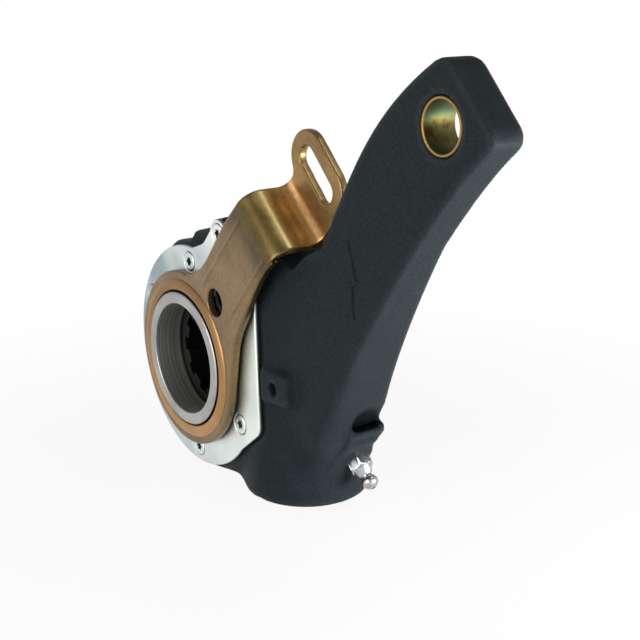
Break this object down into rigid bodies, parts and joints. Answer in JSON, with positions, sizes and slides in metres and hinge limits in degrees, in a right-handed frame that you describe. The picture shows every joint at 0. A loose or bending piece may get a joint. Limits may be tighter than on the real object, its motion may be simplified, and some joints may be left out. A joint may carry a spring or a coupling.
{
  "type": "brake slack adjuster",
  "caption": "Automatic brake slack adjuster: cast lever and worm barrel on a splined camshaft hub, with a bent control arm that drives a rack and worm to take up lining wear.",
  "frame": {"origin": "on the camshaft axis in the plane of the worm axis", "axes": "+Y along the camshaft away from the cover, +Z along the worm towards its blind end, +X from the camshaft towards the worm"},
  "size_m": [0.2162, 0.058, 0.1779],
  "materials": {
    "housing": "satin charcoal paint over rough casting",
    "clevis_bush": "yellow zinc passivate",
    "cover_plate": "bright zinc plate",
    "cover_gasket": "black fibre",
    "cover_screws": "bright zinc plate",
    "control_arm": "bronze yellow zinc passivate",
    "control_collar": "bronze yellow zinc passivate",
    "control_disc": "plain machined steel",
    "collar_seal": "black moulded rubber",
    "worm_wheel": "plain turned steel",
    "hub_front_seal": "black moulded rubber",
    "hub_rear_seal": "black moulded rubber",
    "worm_shaft": "hardened ground steel",
    "clutch_wheel": "plain machined steel",
    "one_way_spring": "spring steel wire",
    "ring_gear": "plain machined steel",
    "rack": "plain machined steel",
    "rack_plug": "plain steel",
    "thrust_race_upper": "ground bearing steel",
    "thrust_balls": "polished bearing steel",
    "thrust_race_lower": "ground bearing steel",
    "clutch_spring": "blackened spring steel",
    "spring_seat": "plain turned steel",
    "barrel_cap": "plain turned steel",
    "cap_seal": "black moulded rubber",
    "shaft_seal": "black moulded rubber",
    "grease_nipple": "bright zinc plate"
  },
  "bodies": {
    "casting": {"housing": "housing", "clevis_bush": "clevis_bush", "cover_plate": "cover_plate", "cover_gasket": "cover_gasket", "cover_screws": "cover_screws", "collar_seal": "collar_seal", "rack_plug": "rack_plug", "barrel_cap": "barrel_cap", "cap_seal": "cap_seal", "shaft_seal": "shaft_seal", "grease_nipple": "grease_nipple", "clutch_spring": "clutch_spring", "spring_seat": "spring_seat", "thrust_race_lower": "thrust_race_lower", "thrust_balls": "thrust_balls"},
    "control": {"control_arm": "control_arm", "control_collar": "control_collar", "control_disc": "control_disc"},
    "rack_bar": {"rack": "rack"},
    "ring": {"ring_gear": "ring_gear", "one_way_spring": "one_way_spring"},
    "worm": {"worm_shaft": "worm_shaft", "clutch_wheel": "clutch_wheel", "thrust_race_upper": "thrust_race_upper"},
    "wheel": {"worm_wheel": "worm_wheel", "hub_front_seal": "hub_front_seal", "hub_rear_seal": "hub_rear_seal"}
  },
  "joints": [
    {"name": "control_swing", "type": "hinge", "parent": "casting", "child": "control", "pos_m": [0, 0, 0], "axis": [0, 1, 0], "range_deg": [-25, 0]},
    {"name": "rack_slide", "type": "slide", "parent": "casting", "child": "rack_bar", "axis": [1, 0, 0], "range_m": [-0.0168, 0]},
    {"name": "ring_turn", "type": "hinge", "parent": "casting", "child": "ring", "pos_m": [0.0433, 0, 0.04], "axis": [0, 0, 1], "range_deg": [-86, 0]},
    {"name": "worm_turn", "type": "hinge", "parent": "casting", "child": "worm", "pos_m": [0.0433, 0, 0], "axis": [0, 0, 1], "continuous": true},
    {"name": "wheel_turn", "type": "hinge", "parent": "casting", "child": "wheel", "pos_m": [0, 0, 0], "axis": [0, 1, 0], "continuous": true}
  ],
  "couplings": [
    {"joint": "rack_slide", "follows": "control_swing", "m_per_rad": 0.038295},
    {"joint": "ring_turn", "follows": "control_swing", "ratio": 3.404},
    {"joint": "wheel_turn", "follows": "worm_turn", "ratio": 0.04}
  ]
}
